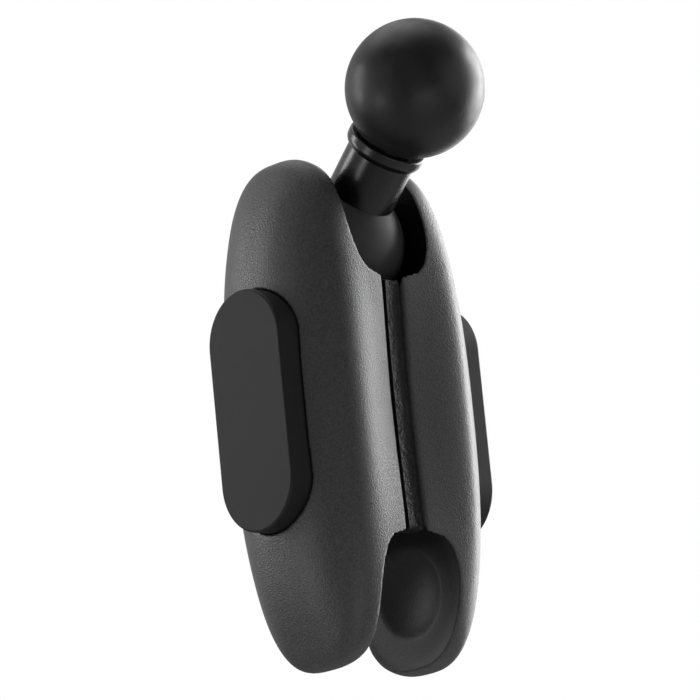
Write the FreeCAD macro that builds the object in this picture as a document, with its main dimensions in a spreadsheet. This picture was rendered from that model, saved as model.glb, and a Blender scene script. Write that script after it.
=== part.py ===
"""Double-socket ball clamp arm of a phone handlebar mount, with its double-ball stud.

The arm stands along Z. The row origin is the centre of the empty lower socket. Two mirrored
shells face each other across a gap at x = 0, and a screw through their middle clamps them on
the stud's lower ball. Lengths are millimetres, and angles are degrees.
"""
import FreeCAD, Part
import math
import os
import Sketcher

SIZES = {
    # Ball stud
    "ball_radius": 12.7,  # a one-inch ball at both ends
    "ball_spacing": 34.4,  # centre of the lower ball to centre of the upper ball
    "rubber_wall": 3.2,  # from a ball's surface to its hard core
    "core_stem_radius": 5.8,
    "neck_radius": 6.4,
    "collar_radius": 7.4,
    "collar_thickness": 2.9,
    "collar_round": 1.8,  # its rounded underside
    "collar_rim_round": 0.35,
    "collar_to_ball": 11.4,  # top of the collar to the centre of the upper ball
    "skirt_radius": 6.9,
    "skirt_height": 0.6,
    "skirt_gap": 0.5,  # open groove between the rubber skirt and the collar
    "running_clearance": 0.05,
    "stud_swing_angle": 46.8,  # how far the stud leans forward at rest
    # Shells
    "socket_pitch": 64.4,
    "socket_clearance": 0.05,
    "half_gap": 2.3,
    "shell_half_width": 16.4,
    "shell_half_length": 47.3,
    "shell_outline_power": 2.95,
    "ridge_height": 11.35,  # split plane to the widest outline
    "crown_height": 23.1,  # split plane to the top of the dome
    "crown_width_power": 1.89,
    "crown_length_power": 1.9,
    "crown_outline_power": 2.5,
    "lip_half_width": 13.5,  # half width of the split face at mid length
    "lip_half_length": 41.6,
    "lip_outline_power": 3.5,
    "lip_waist": 0.28,
    "recess_radius": 16.5,
    "recess_floor": 9.8,  # split plane to the floor round each cup
    "recess_corner": 4.5,
    "cup_mouth_round": 1.6,
    # Pressed-in covers
    "cap_width": 19.2,
    "cap_length": 44.2,
    "cap_face": 24.7,  # split plane to the flat outer face
    "cap_seat": 18.4,
    "cap_wall": 2.0,
    "cap_top": 2.0,
    "cap_edge_round": 0.5,
    "cap_fit": 0.15,
    "peg_radius": 2.0,
    "peg_length": 6.0,
    "peg_offset": 13.5,
    "peg_fit": 0.05,
    "peg_end_gap": 0.5,
    # Clamp screw, nut and spring
    "screw_radius": 2.95,
    "screw_length": 30.0,
    "screw_chamfer": 0.6,
    "head_radius": 5.0,
    "head_height": 6.0,
    "head_round": 0.5,
    "key_across_flats": 5.0,
    "key_depth": 3.0,
    "thread_clearance": 0.07,
    "screw_clearance": 0.3,
    "washer_seat": 10.4,  # split plane to the floor under the washer
    "washer_radius": 6.0,
    "washer_thickness": 1.6,
    "washer_clearance": 0.3,
    "nut_across_flats": 10.0,
    "nut_height": 6.0,
    "nut_hex_height": 4.6,
    "nut_collar_radius": 4.5,
    "nut_seat": 11.0,
    "nut_fit": 0.05,
    "insert_radius": 3.8,
    "insert_height": 1.2,
    "insert_lip": 0.4,
    "spring_radius": 4.4,  # mean radius of the coil
    "spring_wire": 1.0,  # side of its square wire
    "spring_turns": 5.0,
    "spring_pocket": 7.8,  # split plane to the floor of each spring pocket
    "spring_clearance": 0.3,
    # Spacer and its pins between the shells
    "spacer_thickness": 3.4,
    "spacer_half_length": 23.2,
    "spacer_recess": 0.6,  # how far its edges lie behind the mouth of the gap
    "spacer_corner": 0.8,
    "spacer_ball_gap": 0.6,
    "pin_radius": 1.5,
    "pin_reach": 7.0,  # split plane to each end of a pin
    "pin_offset": 10.0,
    "pin_chamfer": 0.4,
    "pin_fit": 0.03,
    "pin_end_gap": 0.3,
}
SKIRT_SECTIONS = (0, 0.4, 0.75)  # shares of the way from the split face to the ridge
DOME_SECTIONS = (8, 22, 40, 55, 68, 78)  # degrees up the dome from the ridge to the crown
OVAL_POINTS = 32

doc = FreeCAD.newDocument("ball_clamp_arm")
sheet = doc.addObject("Spreadsheet::Sheet", "Sizes")
for row, (alias, number) in enumerate(SIZES.items(), start=1):
    sheet.set(f"A{row}", alias)
    sheet.set(f"B{row}", str(number))
    sheet.setAlias(f"B{row}", alias)
doc.recompute()


class Size:
    """A size with its number and the sheet formula that gives it."""

    def __init__(self, value, formula):
        self.value = value
        self.formula = formula

    def __add__(self, other):
        other = as_size(other)
        return Size(self.value + other.value, f"({self.formula} + {other.formula})")

    def __sub__(self, other):
        other = as_size(other)
        return Size(self.value - other.value, f"({self.formula} - {other.formula})")

    def __mul__(self, other):
        other = as_size(other)
        return Size(self.value * other.value, f"({self.formula} * {other.formula})")

    def __truediv__(self, other):
        other = as_size(other)
        return Size(self.value / other.value, f"({self.formula} / {other.formula})")

    def __pow__(self, other):
        other = as_size(other)
        return Size(self.value**other.value, f"({self.formula} ^ {other.formula})")

    def __neg__(self):
        return Size(-self.value, f"(-1 * {self.formula})")


def as_size(number):
    """Wrap a plain number as a size."""
    return number if isinstance(number, Size) else Size(number, repr(float(number)))


def side(long_side, short_side):
    """The remaining side of a right triangle with this hypotenuse and other side."""
    value = math.sqrt(long_side.value**2 - short_side.value**2)
    return Size(value, f"sqrt({long_side.formula}^2 - {short_side.formula}^2)")


def cell(alias):
    """The driving dimension of that name, read from the sheet."""
    return Size(float(sheet.get(alias)), f"Sizes.{alias}")


ZERO = as_size(0)
HALF_PITCH = cell("socket_pitch") / 2
CUP_RADIUS = cell("ball_radius") + cell("socket_clearance")
CORE_RADIUS = cell("ball_radius") - cell("rubber_wall")
HEAD_SEAT = cell("washer_seat") + cell("washer_thickness")
PEG_HOLE_FLOOR = cell("cap_seat") - cell("peg_length") - cell("peg_end_gap")


# Sketch and feature helpers


def new_body(label):
    """An empty body whose label is the node's name."""
    body = doc.addObject("PartDesign::Body", label)
    body.Label = label
    return body


def new_sketch(body, name, role, **offsets):
    """A sketch on one of the body's origin planes, moved by offsets along its own axes."""
    sketch = body.newObject("Sketcher::SketchObject", f"{body.Label}_{name}")
    planes = [item for item in body.Origin.OriginFeatures if item.Role == role]
    sketch.AttachmentSupport = [(planes[0], "")]
    sketch.MapMode = "FlatFace"
    for axis, size in offsets.items():
        sketch.setExpression(f"AttachmentOffset.Base.{axis}", size.formula)
    return sketch


def dimension(sketch, kind, *where, size):
    """Add a driving constraint whose value follows the sheet."""
    index = sketch.addConstraint(Sketcher.Constraint(kind, *where, size.value))
    sketch.setExpression(f"Constraints[{index}]", size.formula)


def pin_point(sketch, edge, point, across=None, up=None):
    """Hold an edge's point at a place across and up from the sketch's origin."""
    for kind, axis, size in (("DistanceX", -2, across), ("DistanceY", -1, up)):
        if size is None:
            continue
        if size.value == 0:
            sketch.addConstraint(Sketcher.Constraint("PointOnObject", edge, point, axis))
        elif size.value > 0:
            dimension(sketch, kind, -1, 1, edge, point, size=size)
        else:
            dimension(sketch, kind, edge, point, -1, 1, size=-size)


def draw_circle(sketch, radius, across=ZERO, up=ZERO):
    """A circle held by its radius and the place of its centre."""
    centre = FreeCAD.Vector(across.value, up.value, 0)
    edge = sketch.addGeometry(Part.Circle(centre, FreeCAD.Vector(0, 0, 1), radius.value))
    dimension(sketch, "Radius", edge, size=radius)
    pin_point(sketch, edge, 3, across, up)


def draw_profile(sketch, corners, arcs=None):
    """Draw a closed profile through the corners.

    The edges are straight, save those that arcs names by the number of their first corner: each
    gives (centre across, centre up, radius, anticlockwise). A corner on an arc is held along one
    direction only, because the arc holds it along the other.
    """
    arcs = arcs or {}
    count = len(corners)
    ends = []
    for index, start in enumerate(corners):
        stop = corners[(index + 1) % count]
        points = [FreeCAD.Vector(a.value, b.value, 0) for a, b in (start, stop)]
        if index not in arcs:
            edge = sketch.addGeometry(Part.LineSegment(*points))
            ends.append((edge, 1, 2))
            continue
        across, up, radius, anticlockwise = arcs[index]
        centre = FreeCAD.Vector(across.value, up.value, 0)
        angles = [math.atan2(p.y - centre.y, p.x - centre.x) for p in points]
        if not anticlockwise:
            angles.reverse()
        circle = Part.Circle(centre, FreeCAD.Vector(0, 0, 1), radius.value)
        edge = sketch.addGeometry(Part.ArcOfCircle(circle, *angles))
        dimension(sketch, "Radius", edge, size=radius)
        pin_point(sketch, edge, 3, across, up)
        ends.append((edge, 1, 2) if anticlockwise else (edge, 2, 1))
    for index, (across, up) in enumerate(corners):
        before, here = (index - 1) % count, index
        edge, first, _ = ends[here]
        sketch.addConstraint(
            Sketcher.Constraint("Coincident", ends[before][0], ends[before][2], edge, first)
        )
        for number in (before, here):
            if number in arcs:
                lean_x = abs(across.value - arcs[number][0].value)
                lean_y = abs(up.value - arcs[number][1].value)
                if lean_y >= lean_x:
                    up = None
                else:
                    across = None
                break
        pin_point(sketch, edge, first, across, up)


def draw_stadium(sketch, width, length):
    """An upright stadium about the sketch's origin."""
    radius, rise = width / 2, (length - width) / 2
    corners = [(radius, -rise), (radius, rise), (-radius, rise), (-radius, -rise)]
    r, h = radius.value, rise.value
    normal = FreeCAD.Vector(0, 0, 1)
    right = sketch.addGeometry(Part.LineSegment(*[FreeCAD.Vector(r, y, 0) for y in (-h, h)]))
    top_circle = Part.Circle(FreeCAD.Vector(0, h, 0), normal, r)
    top = sketch.addGeometry(Part.ArcOfCircle(top_circle, 0, math.pi))
    left = sketch.addGeometry(Part.LineSegment(*[FreeCAD.Vector(-r, y, 0) for y in (h, -h)]))
    bottom_circle = Part.Circle(FreeCAD.Vector(0, -h, 0), normal, r)
    bottom = sketch.addGeometry(Part.ArcOfCircle(bottom_circle, math.pi, 2 * math.pi))
    ring = (right, top, left, bottom)
    for edge, following in zip(ring, ring[1:] + ring[:1]):
        sketch.addConstraint(Sketcher.Constraint("Tangent", edge, 2, following, 1))
    pin_point(sketch, top, 3, ZERO, rise)
    pin_point(sketch, bottom, 3, ZERO, -rise)
    dimension(sketch, "Radius", top, size=radius)


def draw_hexagon(sketch, across_flats):
    """A hexagon about the sketch's origin, with two corners on its vertical axis."""
    reach = across_flats / math.sqrt(3)
    corners = []
    for step in range(6):
        angle = math.radians(60 * step + 90)
        corners.append((reach * round(math.cos(angle), 9), reach * round(math.sin(angle), 9)))
    draw_profile(sketch, corners)


def turn(body, kind, sketch, axis):
    """Revolve a profile a full turn about one of its sketch's axes."""
    feature = body.newObject(f"PartDesign::{kind}", f"{sketch.Name}_{kind}")
    feature.Profile = sketch
    feature.ReferenceAxis = (sketch, [axis])
    feature.Angle = 360
    return feature


def pad(body, sketch, length):
    """Raise a sketch along its normal."""
    feature = body.newObject("PartDesign::Pad", f"{sketch.Name}_pad")
    feature.Profile = sketch
    feature.setExpression("Length", length.formula)
    return feature


def pocket(body, sketch, length=None):
    """Cut a sketch along its normal, right through where no length is given."""
    feature = body.newObject("PartDesign::Pocket", f"{sketch.Name}_pocket")
    feature.Profile = sketch
    feature.Reversed = True
    if length is None:
        feature.Type = "ThroughAll"
    else:
        feature.setExpression("Length", length.formula)
    return feature


def round_edges(body, name, radius, wanted):
    """Round the edges of the body's last feature that wanted picks."""
    doc.recompute()
    base = body.Tip
    names = [f"Edge{i}" for i, edge in enumerate(base.Shape.Edges, start=1) if wanted(edge)]
    feature = body.newObject("PartDesign::Fillet", f"{body.Label}_{name}")
    feature.Base = (base, names)
    feature.setExpression("Radius", radius.formula)
    return feature


def mirror(body, feature, role):
    """Repeat a feature across one of the body's origin planes."""
    mirrored = body.newObject("PartDesign::Mirrored", f"{feature.Name}_mirrored")
    mirrored.Originals = [feature]
    planes = [item for item in body.Origin.OriginFeatures if item.Role == role]
    mirrored.MirrorPlane = (planes[0], [""])
    body.Tip = mirrored
    return mirrored


def place(body, x=ZERO, z=HALF_PITCH, turn_about=None, degrees=ZERO):
    """Put a body at its place in the row's frame."""
    axis = FreeCAD.Vector(*(turn_about or (0, 0, 1)))
    start = FreeCAD.Vector(x.value, 0, z.value)
    body.Placement = FreeCAD.Placement(start, FreeCAD.Rotation(axis, degrees.value))
    body.setExpression("Placement.Base.x", x.formula)
    body.setExpression("Placement.Base.z", z.formula)
    if degrees.value:
        body.setExpression("Placement.Rotation.Angle", degrees.formula)


# Shells


def oval(height, half_width, half_length, power, waist=0.0):
    """A closed superelliptic wire at a height above the split plane."""
    points = []
    for step in range(OVAL_POINTS):
        angle = 2 * math.pi * step / OVAL_POINTS
        across, up = math.cos(angle), math.sin(angle)
        scale = (abs(across) ** power + abs(up) ** power) ** (-1 / power)
        z = half_length * up * scale
        y = half_width * across * scale * (1 + waist * (z / half_length) ** 2)
        points.append(FreeCAD.Vector(height, y, z))
    curve = Part.BSplineCurve()
    curve.interpolate(Points=points, PeriodicFlag=True)
    return Part.Wire(curve.toShape())


def blend(first, last, share):
    """The value that lies this share of the way from the first to the last."""
    return first + (last - first) * share


def shell_blank(name):
    """The solid outside form of one shell: a dome on a skirt that narrows to the split face."""
    lip_height = cell("half_gap").value
    ridge_height = cell("ridge_height").value
    rise = cell("crown_height").value - ridge_height
    width_power = cell("crown_width_power").value
    length_power = cell("crown_length_power").value
    crown_power = cell("crown_outline_power").value
    lip = [cell(f"lip_{word}").value for word in ("half_width", "half_length", "outline_power")]
    ridge = [cell(f"shell_{word}").value for word in ("half_width", "half_length", "outline_power")]
    waist = cell("lip_waist").value
    half_width, half_length, power = ridge
    sections = []
    for share in SKIRT_SECTIONS:
        outline = [blend(first, last, share) for first, last in zip(lip, ridge)]
        height = blend(lip_height, ridge_height, share)
        sections.append(oval(height, *outline, waist=blend(waist, 0, share)))
    for degrees in DOME_SECTIONS:
        level = math.sin(math.radians(degrees))
        sections.append(
            oval(
                ridge_height + rise * level,
                half_width * (1 - level**width_power) ** (1 / width_power),
                half_length * (1 - level**length_power) ** (1 / length_power),
                blend(power, crown_power, level),
            )
        )
    blank = doc.addObject("Part::Feature", name)
    blank.Shape = Part.makeLoft(sections, True, False)
    return blank


def cut_sockets(body):
    """Cut the round recess and the ball cup at each end."""
    sketch = new_sketch(body, "socket", "XZ_Plane", y=HALF_PITCH)
    floor, corner = cell("recess_floor"), cell("recess_corner")
    wall = cell("recess_radius")
    corners = [
        (ZERO, ZERO),
        (CUP_RADIUS, ZERO),
        (floor, side(CUP_RADIUS, floor)),
        (floor, wall - corner),
        (floor - corner, wall),
        (ZERO, wall),
    ]
    arcs = {
        1: (ZERO, ZERO, CUP_RADIUS, True),
        3: (floor - corner, wall - corner, corner, True),
    }
    draw_profile(sketch, corners, arcs)
    groove = turn(body, "Groove", sketch, "H_Axis")
    mirror(body, groove, "XY_Plane")
    round_edges(body, "cup_mouths", cell("cup_mouth_round"), is_cup_mouth)


def is_cup_mouth(edge, tolerance=0.01):
    """Whether an edge is the circle where a ball cup meets the floor of its recess."""
    if edge.Degenerated or not isinstance(edge.Curve, Part.Circle):
        return False
    mouth = side(CUP_RADIUS, cell("recess_floor")).value
    return abs(edge.Curve.Radius - mouth) < tolerance


def cut_cap_seat(body):
    """Sink the seat of the pressed-in cover and the holes of its pegs."""
    fit = cell("cap_fit") * 2
    seat = new_sketch(body, "cap_seat", "YZ_Plane", z=cell("cap_seat"))
    draw_stadium(seat, cell("cap_width") + fit, cell("cap_length") + fit)
    pocket(body, seat)
    holes = new_sketch(body, "peg_holes", "YZ_Plane", z=PEG_HOLE_FLOOR)
    for offset in (cell("peg_offset"), -cell("peg_offset")):
        draw_circle(holes, cell("peg_radius") + cell("peg_fit"), up=offset)
    pocket(body, holes)


def cut_middle(body):
    """Cut the screw's hole, the spring's pocket and the alignment pins' holes."""
    hole = new_sketch(body, "screw_hole", "YZ_Plane")
    draw_circle(hole, cell("screw_radius") + cell("screw_clearance"))
    pocket(body, hole)
    spring = new_sketch(body, "spring_pocket", "YZ_Plane")
    coil = cell("spring_radius") + cell("spring_wire") / 2
    draw_circle(spring, coil + cell("spring_clearance"))
    pocket(body, spring, cell("spring_pocket"))
    pins = new_sketch(body, "pin_holes", "YZ_Plane")
    for offset in (cell("pin_offset"), -cell("pin_offset")):
        draw_circle(pins, cell("pin_radius") + cell("pin_fit"), up=offset)
    pocket(body, pins, cell("pin_reach") + cell("pin_end_gap"))


def cut_head_seat(body):
    """Sink the round seat of the washer and the screw's head."""
    sketch = new_sketch(body, "head_seat", "YZ_Plane", z=cell("washer_seat"))
    draw_circle(sketch, cell("washer_radius") + cell("washer_clearance"))
    pocket(body, sketch)


def cut_nut_seat(body):
    """Sink the hexagonal seat that keeps the nut from turning."""
    sketch = new_sketch(body, "nut_seat", "YZ_Plane", z=cell("nut_seat"))
    draw_hexagon(sketch, cell("nut_across_flats") + cell("nut_fit") * 2)
    pocket(body, sketch)


def build_shell(label, cut_seat):
    """One shell with its outside towards its own +X."""
    body = new_body(label)
    body.BaseFeature = shell_blank(f"{label}_blank")
    cut_sockets(body)
    cut_cap_seat(body)
    cut_middle(body)
    cut_seat(body)
    return body


def lies_at(edge, height, tolerance=0.01):
    """Whether an edge lies wholly at a height above the split plane."""
    box = edge.BoundBox
    return abs(box.XMin - height) < tolerance and abs(box.XMax - height) < tolerance


# Covers


def build_cap(label):
    """A pressed-in cover: a hollow stadium plate on two pegs."""
    body = new_body(label)
    seat, wall = cell("cap_seat"), cell("cap_wall")
    width, length = cell("cap_width"), cell("cap_length")
    plate = new_sketch(body, "plate", "YZ_Plane", z=seat)
    draw_stadium(plate, width, length)
    pad(body, plate, cell("cap_face") - seat)
    face = cell("cap_face").value
    round_edges(body, "edge", cell("cap_edge_round"), lambda edge: lies_at(edge, face))
    hollow = new_sketch(body, "hollow", "YZ_Plane", z=seat)
    draw_stadium(hollow, width - wall * 2, length - wall * 2)
    hollow_depth = cell("cap_face") - cell("cap_top") - seat
    pocket(body, hollow, hollow_depth)
    pegs = new_sketch(body, "pegs", "YZ_Plane", z=seat - cell("peg_length"))
    for offset in (cell("peg_offset"), -cell("peg_offset")):
        draw_circle(pegs, cell("peg_radius"), up=offset)
    pad(body, pegs, cell("peg_length") + hollow_depth)
    return body


# Fasteners


def build_screw(label):
    """A socket-head screw along +X, with its origin under the head."""
    body = new_body(label)
    shank, head = cell("screw_radius"), cell("head_radius")
    length, height = cell("screw_length"), cell("head_height")
    chamfer, edge = cell("screw_chamfer"), cell("head_round")
    profile = new_sketch(body, "profile", "XZ_Plane")
    corners = [
        (-height, ZERO),
        (length, ZERO),
        (length, shank - chamfer),
        (length - chamfer, shank),
        (ZERO, shank),
        (ZERO, head),
        (edge - height, head),
        (-height, head - edge),
    ]
    draw_profile(profile, corners, {6: (edge - height, head - edge, edge, True)})
    turn(body, "Revolution", profile, "H_Axis")
    key = new_sketch(body, "key", "YZ_Plane", z=-height)
    draw_hexagon(key, cell("key_across_flats"))
    pocket(body, key, cell("key_depth"))
    return body


def build_washer(label):
    """A flat washer with its outer face at its origin."""
    body = new_body(label)
    ring = new_sketch(body, "ring", "YZ_Plane")
    draw_circle(ring, cell("washer_radius"))
    draw_circle(ring, cell("screw_radius") + cell("screw_clearance"))
    pad(body, ring, cell("washer_thickness"))
    return body


def build_nut(label):
    """A lock nut along +X: a hexagon and a round collar with a groove for its insert."""
    body = new_body(label)
    hexagon = new_sketch(body, "hexagon", "YZ_Plane")
    draw_hexagon(hexagon, cell("nut_across_flats"))
    pad(body, hexagon, cell("nut_hex_height"))
    collar = new_sketch(body, "collar", "YZ_Plane")
    draw_circle(collar, cell("nut_collar_radius"))
    pad(body, collar, cell("nut_height"))
    bore = new_sketch(body, "bore", "YZ_Plane")
    draw_circle(bore, cell("screw_radius") + cell("thread_clearance"))
    pocket(body, bore)
    start = cell("nut_height") - cell("insert_lip") - cell("insert_height")
    groove = new_sketch(body, "insert_groove", "YZ_Plane", z=start)
    draw_circle(groove, cell("insert_radius"))
    pocket(body, groove, cell("insert_height"))
    return body


def build_insert(label):
    """The nut's locking ring, in the nut's own frame."""
    body = new_body(label)
    start = cell("nut_height") - cell("insert_lip") - cell("insert_height")
    ring = new_sketch(body, "ring", "YZ_Plane", z=start)
    draw_circle(ring, cell("insert_radius"))
    draw_circle(ring, cell("screw_radius") + cell("thread_clearance"))
    pad(body, ring, cell("insert_height"))
    return body


def build_spring(label):
    """The coil that pushes the shells apart, along X between the floors of its pockets."""
    body = new_body(label)
    wire, middle = cell("spring_wire"), cell("spring_radius")
    coil_length = cell("spring_pocket") * 2 - wire - cell("running_clearance") * 2
    section = new_sketch(body, "section", "XZ_Plane")
    near, far = -(coil_length + wire) / 2, -(coil_length - wire) / 2
    inner, outer = middle - wire / 2, middle + wire / 2
    draw_profile(section, [(near, inner), (far, inner), (far, outer), (near, outer)])
    helix = body.newObject("PartDesign::AdditiveHelix", f"{label}_helix")
    helix.Profile = section
    helix.ReferenceAxis = (section, ["H_Axis"])
    helix.Mode = "height-turns-angle"
    helix.setExpression("Height", coil_length.formula)
    helix.setExpression("Turns", cell("spring_turns").formula)
    helix.Angle = 0
    return body


def build_pin(label):
    """An alignment pin across the split plane, chamfered at both ends."""
    body = new_body(label)
    radius, reach, chamfer = cell("pin_radius"), cell("pin_reach"), cell("pin_chamfer")
    profile = new_sketch(body, "profile", "XZ_Plane")
    corners = [
        (-reach, ZERO),
        (reach, ZERO),
        (reach, radius - chamfer),
        (reach - chamfer, radius),
        (chamfer - reach, radius),
        (-reach, radius - chamfer),
    ]
    draw_profile(profile, corners)
    turn(body, "Revolution", profile, "H_Axis")
    return body


def build_spacer(label):
    """The plate in the gap, seated on the right shell, with edges that follow the waisted gap."""
    body = new_body(label)
    thickness, recess = cell("spacer_thickness"), cell("spacer_recess")
    reach = cell("spacer_half_length")
    share, power = reach / cell("lip_half_length"), cell("lip_outline_power")
    outline_share = (as_size(1) - share**power) ** (as_size(1) / power)
    waist_share = as_size(1) + cell("lip_waist") * share**2
    waist_width = cell("lip_half_width") - recess
    end_width = cell("lip_half_width") * outline_share * waist_share - recess
    sag = end_width - waist_width
    bow = (reach * reach + sag * sag) / (sag * 2)
    start = cell("half_gap") - thickness
    outline = new_sketch(body, "outline", "YZ_Plane", z=start)
    corners = [(end_width, -reach), (end_width, reach), (-end_width, reach), (-end_width, -reach)]
    arcs = {
        0: (waist_width + bow, ZERO, bow, False),
        2: (-(waist_width + bow), ZERO, bow, False),
    }
    draw_profile(outline, corners, arcs)
    pad(body, outline, thickness)
    round_edges(body, "corners", cell("spacer_corner"), runs_across)
    reliefs = new_sketch(body, "ball_reliefs", "YZ_Plane", z=start)
    for centre in (HALF_PITCH, -HALF_PITCH):
        draw_circle(reliefs, cell("ball_radius") + cell("spacer_ball_gap"), up=centre)
    pocket(body, reliefs)
    holes = new_sketch(body, "holes", "YZ_Plane", z=start)
    coil = cell("spring_radius") + cell("spring_wire") / 2
    draw_circle(holes, coil + cell("spring_clearance"))
    for offset in (cell("pin_offset"), -cell("pin_offset")):
        draw_circle(holes, cell("pin_radius") + cell("pin_fit"), up=offset)
    pocket(body, holes)
    return body


def runs_across(edge, tolerance=0.01):
    """Whether an edge runs straight across the gap."""
    box = edge.BoundBox
    return box.YLength < tolerance and box.ZLength < tolerance


# Ball stud


def build_lower_core(label):
    """The stud's hard core inside the lower ball, with its end flush in the ball's surface."""
    body = new_body(label)
    core, stem, ball = CORE_RADIUS, cell("core_stem_radius"), cell("ball_radius")
    profile = new_sketch(body, "profile", "XZ_Plane")
    corners = [(ZERO, -core), (stem, side(core, stem)), (stem, side(ball, stem)), (ZERO, ball)]
    arcs = {0: (ZERO, ZERO, core, True), 2: (ZERO, ZERO, ball, True)}
    draw_profile(profile, corners, arcs)
    turn(body, "Revolution", profile, "V_Axis")
    return body


def build_lower_ball(label):
    """The rubber of the lower ball, moulded round its core."""
    body = new_body(label)
    core, stem, ball = CORE_RADIUS, cell("core_stem_radius"), cell("ball_radius")
    profile = new_sketch(body, "profile", "XZ_Plane")
    corners = [(ZERO, -ball), (stem, side(ball, stem)), (stem, side(core, stem)), (ZERO, -core)]
    arcs = {0: (ZERO, ZERO, ball, True), 2: (ZERO, ZERO, core, False)}
    draw_profile(profile, corners, arcs)
    turn(body, "Revolution", profile, "V_Axis")
    return body


def build_neck(label):
    """The neck, its collar and the core of the upper ball, turned in one piece."""
    body = new_body(label)
    neck, collar, stem = cell("neck_radius"), cell("collar_radius"), cell("core_stem_radius")
    core, spacing = CORE_RADIUS, cell("ball_spacing")
    seat = cell("ball_radius") + cell("running_clearance")
    collar_top = spacing - cell("collar_to_ball")
    collar_foot = collar_top - cell("collar_thickness")
    rim, under = cell("collar_rim_round"), cell("collar_round")
    under_rise = side(under, under - (collar - neck))
    profile = new_sketch(body, "profile", "XZ_Plane")
    corners = [
        (ZERO, seat),
        (neck, side(seat, neck)),
        (neck, collar_foot),
        (collar, collar_foot + under_rise),
        (collar, collar_top - rim),
        (collar - rim, collar_top),
        (stem, collar_top),
        (stem, spacing - side(core, stem)),
        (ZERO, spacing + core),
    ]
    arcs = {
        0: (ZERO, ZERO, seat, False),
        2: (collar - under, collar_foot + under_rise, under, True),
        4: (collar - rim, collar_top - rim, rim, True),
        7: (ZERO, spacing, core, True),
    }
    draw_profile(profile, corners, arcs)
    turn(body, "Revolution", profile, "V_Axis")
    return body


def build_upper_ball(label):
    """The rubber of the upper ball, with the short skirt above the collar."""
    body = new_body(label)
    ball, spacing, skirt = cell("ball_radius"), cell("ball_spacing"), cell("skirt_radius")
    core = CORE_RADIUS + cell("running_clearance")
    stem = cell("core_stem_radius") + cell("running_clearance")
    skirt_foot = spacing - cell("collar_to_ball") + cell("skirt_gap")
    skirt_top = skirt_foot + cell("skirt_height")
    profile = new_sketch(body, "profile", "XZ_Plane")
    corners = [
        (stem, skirt_foot),
        (skirt, skirt_foot),
        (side(ball, spacing - skirt_top), skirt_top),
        (ZERO, spacing + ball),
        (ZERO, spacing + core),
        (stem, spacing - side(core, stem)),
    ]
    arcs = {2: (ZERO, spacing, ball, True), 4: (ZERO, spacing, core, False)}
    draw_profile(profile, corners, arcs)
    turn(body, "Revolution", profile, "V_Axis")
    return body


def main():
    """Build every piece, put it in its place and write one file for each."""
    half_turn = as_size(180)
    pieces = []

    def add(body, **where):
        place(body, **where)
        pieces.append(body)

    add(build_shell("right_shell", cut_nut_seat))
    add(build_shell("left_shell", cut_head_seat), degrees=half_turn)
    add(build_cap("right_cap"))
    add(build_cap("left_cap"), degrees=half_turn)
    add(build_spacer("centre_spacer"))
    add(build_screw("clamp_screw"), x=-HEAD_SEAT)
    add(build_washer("head_washer"), x=-HEAD_SEAT)
    add(build_nut("lock_nut"), x=cell("nut_seat"))
    add(build_insert("nut_insert"), x=cell("nut_seat"))
    add(build_spring("clamp_spring"))
    add(build_pin("upper_pin"), z=HALF_PITCH + cell("pin_offset"))
    add(build_pin("lower_pin"), z=HALF_PITCH - cell("pin_offset"))
    swing = {
        "z": cell("socket_pitch"),
        "turn_about": (1, 0, 0),
        "degrees": cell("stud_swing_angle"),
    }
    add(build_lower_core("lower_core"), **swing)
    add(build_lower_ball("lower_ball"), **swing)
    add(build_neck("stud_neck"), **swing)
    add(build_upper_ball("upper_ball"), **swing)
    doc.recompute()
    for item in doc.Objects:
        if "Invalid" in item.State or "Error" in item.State:
            raise RuntimeError(f"{item.Label} failed: {item.State}")
    for body in pieces:
        if body.Shape.isNull() or not body.Shape.isValid():
            raise RuntimeError(f"{body.Label} has no valid shape")
    os.makedirs("parts", exist_ok=True)
    for body in pieces:
        body.Shape.exportStep(f"parts/{body.Label}.step")
        box = body.Shape.BoundBox
        spans = (box.XMin, box.XMax, box.YMin, box.YMax, box.ZMin, box.ZMax)
        print(body.Label, len(body.Shape.Solids), [round(span, 2) for span in spans])


main()
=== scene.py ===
"""A phone handlebar mount's ball clamp arm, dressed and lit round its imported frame.

The arm stands along Z with the origin at the centre of its empty lower socket. Two moulded
shells face each other across a gap at x = 0, and a double-ball stud leans out of the upper
socket. Lengths are metres, unless a name says millimetres.
"""
from __future__ import annotations

import logging
import math
from collections.abc import Callable, Sequence
from dataclasses import dataclass, replace
from enum import Enum

import bmesh
import bpy
from mathutils import Matrix, Vector, noise


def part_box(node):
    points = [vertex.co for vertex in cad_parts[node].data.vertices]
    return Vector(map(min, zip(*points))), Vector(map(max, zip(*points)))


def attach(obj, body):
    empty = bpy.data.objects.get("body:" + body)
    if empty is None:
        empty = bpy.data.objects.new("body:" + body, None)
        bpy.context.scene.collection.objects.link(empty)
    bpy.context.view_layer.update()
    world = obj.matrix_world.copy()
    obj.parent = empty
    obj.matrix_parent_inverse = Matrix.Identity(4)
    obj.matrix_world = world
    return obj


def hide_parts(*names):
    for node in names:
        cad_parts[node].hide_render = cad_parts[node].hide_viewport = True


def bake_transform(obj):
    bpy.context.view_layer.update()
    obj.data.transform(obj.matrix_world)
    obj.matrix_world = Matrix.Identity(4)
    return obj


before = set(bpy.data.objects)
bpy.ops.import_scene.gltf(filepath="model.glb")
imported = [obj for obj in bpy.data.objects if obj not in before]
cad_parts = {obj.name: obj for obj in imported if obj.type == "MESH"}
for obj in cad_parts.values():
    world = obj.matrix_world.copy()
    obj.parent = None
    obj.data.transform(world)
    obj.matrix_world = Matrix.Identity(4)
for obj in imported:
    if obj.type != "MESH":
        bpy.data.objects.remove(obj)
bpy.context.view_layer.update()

MILLIMETRE = 0.001
SOCKET_PITCH_MM = 64.4

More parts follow.
